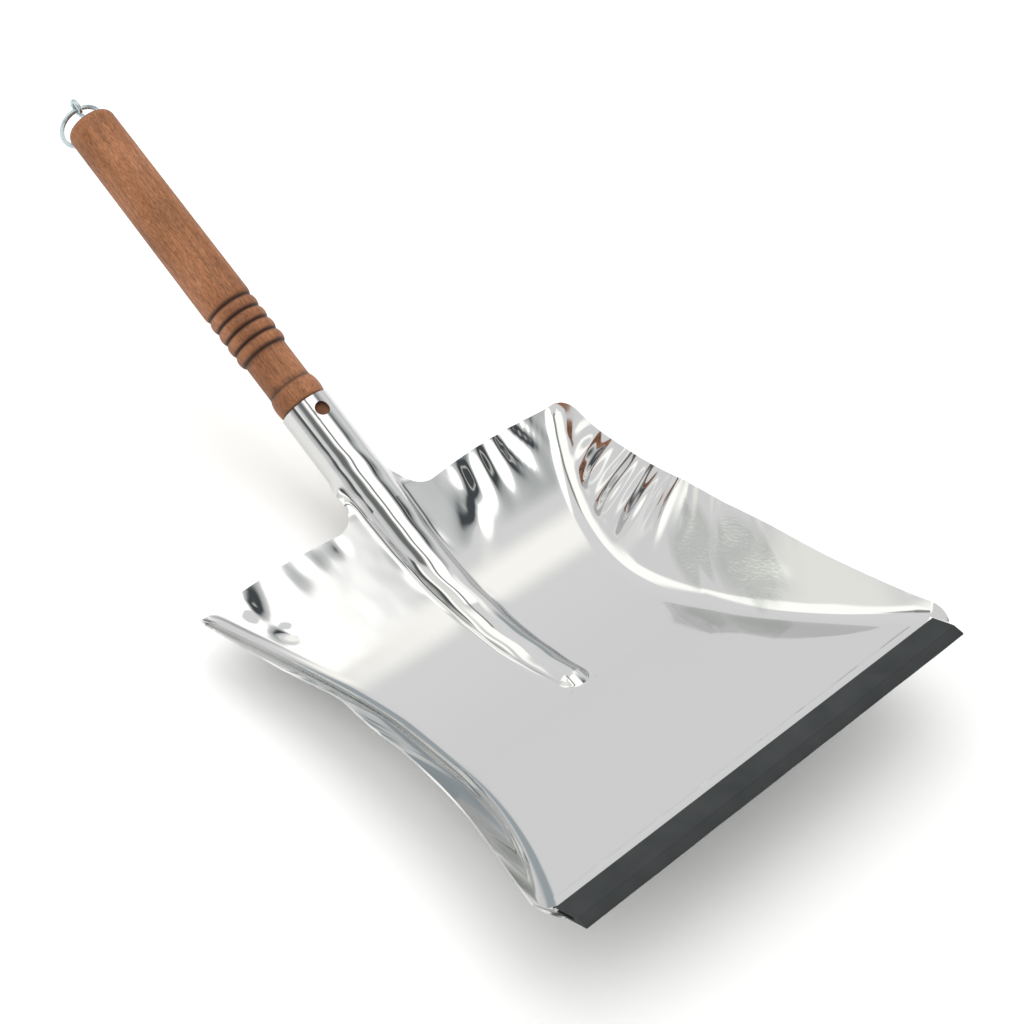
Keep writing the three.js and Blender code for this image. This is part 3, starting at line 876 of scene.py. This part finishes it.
def socket_sheet():
    """Rows of the socket with their waves, and which of its points lie in the peep hole."""
    rows, in_hole = socket_rows()
    rows = np.array(rows)
    middle = rows.shape[1] // 2
    reach = travelled_along(rows)
    reach -= reach[:, middle:middle + 1]
    behind = (rows @ np.array((0, math.cos(BACK), math.sin(BACK))))[:, middle:middle + 1]
    behind = behind - behind[0] + np.zeros_like(reach)
    rows += grid_normals(rows) * socket_ripple(behind, reach)[:, :, None]
    return rows, in_hole


def thicken(pan):
    """Give the sheet its thickness, half to each side, and round its rims."""
    thickness = pan.modifiers.new("thickness", "SOLIDIFY")
    thickness.thickness = SHEET * MM
    thickness.offset = 0
    rounding = pan.modifiers.new("rounded_rim", "BEVEL")
    rounding.width = RIM_ROUNDING * MM
    rounding.segments = 2
    rounding.limit_method = "ANGLE"
    rounding.angle_limit = deg(55)
    rounding.harden_normals = True


def make_pan(material):
    sheet, matt = main_sheet()
    tongue = np.array([pan_row(a, with_walls=False) for a in (-TONGUE, -TONGUE / 2, WALL_START)])
    right_ear = np.array([ear_row(EAR_LENGTH * math.sin(PI / 2 * t)) for t in EAR_ROWS])
    left_ear = right_ear[:, ::-1] * MIRROR
    socket, in_hole = socket_sheet()
    grids = [(grid, None) for grid in (sheet, tongue, right_ear, left_ear)]
    grids.append((socket, in_hole))
    points = []
    faces = []
    for grid, left_out in grids:
        faces += grid_faces(grid.shape[0], grid.shape[1], len(points), left_out)
        points += list(grid.reshape(-1, 3) * MM)
    pan = mesh_object("pan_sheet", points, faces, PAN_FRAME, "dustpan", material)
    frost = pan.data.attributes.new("frost", "FLOAT", "POINT")
    frost.data.foreach_set("value", np.concatenate([matt.ravel(), np.zeros(len(points) - matt.size)]))
    merge_doubles(pan, MERGE_DISTANCE)
    thicken(pan)
    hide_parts("pan")
    return pan


def lip_outline():
    """Pairs of place along the sheet and height, round the lip's section."""
    slot_half = SHEET / 2 + GAP
    top = slot_half + LIP_FLAP
    blade_top = LIP_BLADE - LIP_DROP
    upper_flap = [
        (0, slot_half), (0, top - 0.35), (-0.12, top - 0.1), (-0.4, top),
        (-LIP_STEP + 0.5, top), (-LIP_STEP, top - 0.12),
    ]
    step = [(-LIP_STEP - 0.25, top - 0.42), (-LIP_STEP - 0.8, top - 0.6)]
    blade = [
        (-LIP_DEPTH + 0.3, blade_top + 0.12), (-LIP_DEPTH, blade_top - 0.15),
        (-LIP_DEPTH, -LIP_DROP + 0.15), (-LIP_DEPTH + 0.2, -LIP_DROP),
    ]
    lower_flap = [(-LIP_STEP, -top), (-0.3, -top), (0, -top + 0.3)]
    slot = [(0, -slot_half), (-TONGUE - GAP, -slot_half), (-TONGUE - GAP, slot_half)]
    return upper_flap + step + blade + lower_flap + slot


def make_lip(material):
    """The lip's section drawn along the front edge, whose blade waves a little."""
    outline = lip_outline()
    points = []
    for i in range(LIP_LOOPS):
        x = lerp(-LIP_LEFT, LIP_RIGHT, i / (LIP_LOOPS - 1))
        wave = 0.05 * math.sin(x / 9.0) + 0.04 * math.sin(x / 3.7 + 1)
        points += [(x, y + wave * smooth(-y / LIP_DEPTH), z) for y, z in outline]
    faces = loop_faces(LIP_LOOPS, len(outline)) + end_faces(LIP_LOOPS, len(outline))
    lip = mesh_object("lip_profile", np.array(points) * MM, faces, PAN_FRAME, "dustpan", material)
    lip.data.set_sharp_from_angle(angle=deg(40))
    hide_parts("rubber_lip")
    return lip


def spigot_outline():
    return [
        (0, -SPIGOT_LENGTH), (SPIGOT_RADIUS - SPIGOT_CHAMFER, -SPIGOT_LENGTH),
        (SPIGOT_RADIUS, -SPIGOT_LENGTH + SPIGOT_TAPER), (SPIGOT_RADIUS, GAP),
    ]


def collar_outline():
    steps = 24
    outline = []
    for i in range(steps + 1):
        t = i / steps
        bulge = max(math.sin(PI * t), 0) ** 0.6
        outline.append((lerp(NECK_RADIUS + 0.3, COLLAR_RADIUS, bulge), lerp(GAP, COLLAR_LENGTH, t)))
    outline.append((NECK_RADIUS + 0.05, COLLAR_LENGTH + 0.8))
    return outline


def neck_outline():
    steps = 8
    return [(NECK_RADIUS, lerp(NECK_START, NECK_END, i / steps)) for i in range(steps + 1)]


def grooves_outline():
    """The grooves, with a round bead between each two."""
    steps = 16
    outline = []
    for g in range(GROOVE_COUNT):
        middle = FIRST_GROOVE + GROOVE_PITCH * g
        outline.append((NECK_RADIUS - GROOVE_DEPTH, middle))
        if g + 1 < GROOVE_COUNT:
            for i in range(1, steps):
                t = i / steps
                radius = lerp(NECK_RADIUS, GRIP_RADIUS, math.sin(PI * t) ** 0.5)
                outline.append((radius, middle + GROOVE_PITCH * t))
    return outline


def grip_outline():
    """The long grip, from the last groove to the hole for the eye in its round end."""
    outline = [
        (GRIP_RADIUS - 0.8, LAST_GROOVE + 0.7), (GRIP_RADIUS - 0.25, LAST_GROOVE + 1.7),
        (GRIP_RADIUS, GRIP_START),
    ]
    taper_steps = 24
    for i in range(1, taper_steps + 1):
        t = i / taper_steps
        radius = lerp(GRIP_RADIUS, GRIP_END_RADIUS, t)
        outline.append((radius, lerp(GRIP_START, HANDLE_END - END_ROUNDING, t)))
    round_steps = 14
    for i in range(1, round_steps + 1):
        turn = PI / 2 * i / round_steps
        outline.append((GRIP_END_RADIUS - END_ROUNDING * (1 - math.cos(turn)),
                        HANDLE_END - END_ROUNDING * (1 - math.sin(turn))))
    face_steps = 6
    face_radius = GRIP_END_RADIUS - END_ROUNDING
    outline += [(face_radius * (1 - i / face_steps), HANDLE_END) for i in range(1, face_steps)]
    hole = EYE_WIRE + GAP
    hole_end = HANDLE_END - PILOT_HOLE_DEPTH
    return outline + [(hole, HANDLE_END), (hole, hole_end), (0, hole_end)]


# Painted shade on the handle, darkest in the turned grooves, at the joint with the socket's rim, at the
# collar's top and at the rim of the end: height, reach to each side and strength.
PAINTED_SHADES = [(FIRST_GROOVE + GROOVE_PITCH * g, 2.1, 1.0) for g in range(GROOVE_COUNT)]
PAINTED_SHADES += [(GAP, 1.6, 0.85), (COLLAR_LENGTH + 0.6, 1.9, 0.8), (HANDLE_END - 0.8, 1.6, 0.5)]


def painted_shade_at(height):
    """How dark the painted shade is at a height of the handle, 0 to 1."""
    return max(strength * (1 - smooth(abs(height - place) / reach)) for place, reach, strength in PAINTED_SHADES)


def make_handle(material):
    outline = spigot_outline() + collar_outline() + neck_outline() + grooves_outline() + grip_outline()
    points, faces = turned(outline, HANDLE_SIDES)
    handle = mesh_object("handle_wood", points * MM, faces, HANDLE_FRAME, "dustpan", material)
    # Amount of painted shade at each point, from its height along the handle.
    painted_groove_shade = handle.data.attributes.new("painted_groove_shade", "FLOAT", "POINT")
    painted_groove_shade.data.foreach_set("value", [painted_shade_at(point[2]) for point in points])
    merge_doubles(handle, MERGE_DISTANCE / 2)
    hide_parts("handle")
    return handle


def make_eye(material):
    """The loop of the eye, then a bend down into the shank."""
    centre = HANDLE_END + EYE_REACH
    loop_steps = 48
    loop_start = deg(336)
    loop_end = deg(34)
    path = []
    for i in range(loop_steps + 1):
        angle = lerp(loop_start, loop_end, i / loop_steps)
        path.append((0, EYE_LOOP * math.sin(angle), centre - EYE_LOOP * math.cos(angle)))
    bend_steps = 8
    bend_from = np.array(path[-1])
    bend_over = np.array((0, 0.35, centre - EYE_LOOP - 0.2))
    bend_to = np.array((0, 0, centre - EYE_LOOP - 2.6))
    for i in range(1, bend_steps + 1):
        t = i / bend_steps
        path.append(tuple(bend_from * (1 - t) ** 2 + bend_over * 2 * t * (1 - t) + bend_to * t**2))
    path.append((0, 0, HANDLE_END - EYE_SHANK + 2))
    points, faces = tube(path, [EYE_WIRE] * len(path), EYE_SIDES, closed=False)
    turn = Matrix.Rotation(-deg(EYE_TURN), 4, "Z")
    eye = mesh_object("eye_wire", points * MM, faces, HANDLE_FRAME @ turn, "dustpan", material)
    eye.data.set_sharp_from_angle(angle=deg(50))
    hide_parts("screw_eye")
    return eye


def ring_place():
    """Frame of the ring, in metres: it hangs leaning in the eye, with its plane turned a little."""
    hang = Vector((math.sin(deg(RING_LEAN)), 0, -math.cos(deg(RING_LEAN))))
    tangent = Vector((0, -1, 0)).cross(hang)
    tangent.rotate(Matrix.Rotation(deg(RING_TURN), 3, hang))
    in_eye = HANDLE_FRAME @ Vector((0, 0, (HANDLE_END + EYE_REACH) * MM)) - Vector((0, 0, RING_SAG * MM))
    turn = Matrix((tangent, -hang, tangent.cross(-hang))).transposed().to_4x4()
    return Matrix.Translation(in_eye + hang * RING_RADIUS * MM) @ turn


def make_ring(material):
    angles = [2 * PI * i / RING_STEPS for i in range(RING_STEPS)]
    path = [(RING_RADIUS * math.cos(angle), RING_RADIUS * math.sin(angle), 0) for angle in angles]
    seam = 100  # the step at which the wire's ends meet in a fine notch
    radii = [RING_WIRE - SEAM_DEPTH * math.exp(-((i - seam) / 0.8) ** 2) for i in range(RING_STEPS)]
    points, faces = tube(path, radii, RING_SIDES, closed=True)
    ring = mesh_object("ring_wire", points * MM, faces, ring_place(), "ring", material)
    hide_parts("hanging_ring")
    return ring


# ---- Studio ----
FLOOR_SIZE = 40
FLOOR_COLOR = (0.95, 0.95, 0.945)
FLOOR_HEIGHT = -0.0003  # just below the pan, so that the two surfaces don't coincide
BACKDROP = (0.95, 0.95, 0.95)
HORIZON_HEIGHT = 0.12  # below this height of the direction the panels give way to the backdrop
# Brightness of the pale walls at heights of the direction.
WALL_TONES = ((0.0, 0.80), (0.30, 0.95), (0.50, 0.96), (0.80, 1.0))
# Panels of the studio as seen from the object: where each lies in X and Y of the direction to it, its
# half sizes there, the width of its soft edge, and its brightness.
STUDIO_PANELS = (
    ("camera_side", (-0.62, -0.62), (0.46, 0.44), 0.30, (0.50, 0.51, 0.49)),
    ("left_glow", (-0.70, 0.20), (0.20, 0.16), 0.20, (1.18, 1.17, 1.12)),
    ("back_left_panel", (-0.46, 0.44), (0.24, 0.20), 0.07, (1.58, 1.57, 1.52)),
    ("left_window", (-0.855, 0.32), (0.035, 0.30), 0.05, (1.70, 1.68, 1.62)),
    ("left_gap", (-0.93, 0.30), (0.035, 0.30), 0.04, (0.12, 0.13, 0.13)),
    ("ceiling_softbox", (0.02, -0.12), (0.44, 0.30), 0.05, (1.80, 1.79, 1.75)),
    ("ceiling_gap", (-0.21, 0.0), (0.06, 0.42), 0.05, (0.36, 0.37, 0.35)),
    ("right_strip", (0.56, 0.22), (0.14, 0.10), 0.13, (1.46, 1.43, 1.38)),
    ("right_gap", (0.78, -0.32), (0.28, 0.30), 0.10, (0.62, 0.64, 0.64)),
    ("right_flag", (0.748, -0.40), (0.172, 0.29), 0.09, (0.085, 0.092, 0.10)),
    ("flag_slit", (0.735, -0.40), (0.02, 0.29), 0.03, (0.62, 0.61, 0.57)),
    ("camera_gap", (-0.64, -0.30), (0.14, 0.24), 0.10, (0.22, 0.23, 0.23)),
    ("back_wall", (0.76, 0.58), (0.10, 0.22), 0.08, (0.46, 0.51, 0.54)),
    ("back_flag", (-0.45, 0.935), (0.17, 0.045), 0.05, (0.10, 0.11, 0.12)),
)


def make_floor():
    bpy.ops.mesh.primitive_plane_add(size=FLOOR_SIZE, location=(0, 0, FLOOR_HEIGHT))
    floor = bpy.context.object
    floor.name = "studio_floor"
    material, _, _, shader = new_material("pale_floor", FLOOR_COLOR, roughness=0.9)
    shader.inputs["Specular IOR Level"].default_value = 0.1
    floor.data.materials.append(material)


def math_node(nodes, links, operation, first, second=None):
    """Result of an operation on a node's output and, where it takes two, a second output or a number."""
    node = nodes.new("ShaderNodeMath")
    node.operation = operation
    links.new(first, node.inputs[0])
    if isinstance(second, (int, float)):
        node.inputs[1].default_value = second
    elif second is not None:
        links.new(second, node.inputs[1])
    return node.outputs[0]


def smooth_step(nodes, links, value, zero_at, one_at):
    """0 at and beyond one value, rising smoothly to 1 at another."""
    node = nodes.new("ShaderNodeMapRange")
    node.interpolation_type = "SMOOTHSTEP"
    node.inputs["From Min"].default_value = zero_at
    node.inputs["From Max"].default_value = one_at
    links.new(value, node.inputs["Value"])
    return node.outputs["Result"]


def panel_mask(nodes, links, split, centre, half, soft):
    """1 inside a rectangle of directions, fading to 0 over its soft edge."""
    masks = []
    for axis, middle, reach in zip("XY", centre, half):
        offset = math_node(nodes, links, "SUBTRACT", split.outputs[axis], middle)
        distance = math_node(nodes, links, "ABSOLUTE", offset)
        masks.append(smooth_step(nodes, links, distance, reach + soft / 2, reach - soft / 2))
    return math_node(nodes, links, "MULTIPLY", *masks)


def make_world():
    """A studio of pale walls, with softboxes and dark gaps for the polished steel to reflect."""
    world = bpy.data.worlds.new("studio")
    bpy.context.scene.world = world
    world.use_nodes = True
    nodes = world.node_tree.nodes
    links = world.node_tree.links
    direction = nodes.new("ShaderNodeTexCoord").outputs["Generated"]
    split = nodes.new("ShaderNodeSeparateXYZ")
    links.new(direction, split.inputs["Vector"])
    color = ramp(nodes, links, split.outputs["Z"], WALL_TONES)
    for _, centre, half, soft, tone in STUDIO_PANELS:
        mask = panel_mask(nodes, links, split, centre, half, soft)
        color = blend(nodes, links, mask, color, tone)
    low = smooth_step(nodes, links, split.outputs["Z"], HORIZON_HEIGHT, 0)
    color = blend(nodes, links, low, color, BACKDROP)
    links.new(color, nodes["Background"].inputs["Color"])


def area_light(name, location, side, energy):
    """Square light aimed at the object, which the polished steel doesn't mirror."""
    data = bpy.data.lights.new(name, "AREA")
    data.shape = "RECTANGLE"
    data.size, data.size_y = side, side
    data.energy = energy
    lamp = bpy.data.objects.new(name, data)
    bpy.context.scene.collection.objects.link(lamp)
    lamp.location = location
    aim = Vector((0, 0, 0)) - Vector(location)
    lamp.rotation_euler = aim.to_track_quat("-Z", "Y").to_euler()
    lamp.visible_glossy = False


def make_lights():
    area_light("overhead_softbox", location=(0.28, 0.60, 1.15), side=1.3, energy=4.2)
    area_light("ceiling_fill", location=(0, 0, 1.5), side=3.2, energy=9)


# ---- Camera: degrees, metres and, for the lens, mm ----
CAMERA_AZIMUTH = -45.93
CAMERA_ELEVATION = 43.91
CAMERA_ROLL = 3.015
CAMERA_DISTANCE = 1.0368
CAMERA_TARGET = (-0.02664, -0.10330, 0.11832)
FOCAL_LENGTH = 84.375
SENSOR_WIDTH = 36


def make_camera():
    azimuth = deg(CAMERA_AZIMUTH)
    elevation = deg(CAMERA_ELEVATION)
    roll = deg(CAMERA_ROLL)
    back = Vector((math.sin(azimuth) * math.cos(elevation), -math.cos(azimuth) * math.cos(elevation),
                   math.sin(elevation)))
    level = Vector((math.cos(azimuth), math.sin(azimuth), 0))
    upright = back.cross(level)
    right = level * math.cos(roll) + upright * math.sin(roll)
    up = upright * math.cos(roll) - level * math.sin(roll)
    data = bpy.data.cameras.new("camera")
    data.lens = FOCAL_LENGTH
    data.sensor_width = SENSOR_WIDTH
    data.clip_start = 0.05
    data.clip_end = 30
    camera = bpy.data.objects.new("camera", data)
    bpy.context.scene.collection.objects.link(camera)
    turn = Matrix((right, up, back)).transposed().to_4x4()
    camera.matrix_world = Matrix.Translation(Vector(CAMERA_TARGET) + back * CAMERA_DISTANCE) @ turn
    bpy.context.scene.camera = camera


# ---- The scene ----
make_camera()
steel = steel_material()
zinc = zinc_material()
make_pan(steel)
make_lip(rubber_material())
make_handle(wood_material())
make_eye(zinc)
make_ring(zinc)
make_floor()
make_world()
make_lights()
bpy.context.scene.view_settings.view_transform = "Standard"
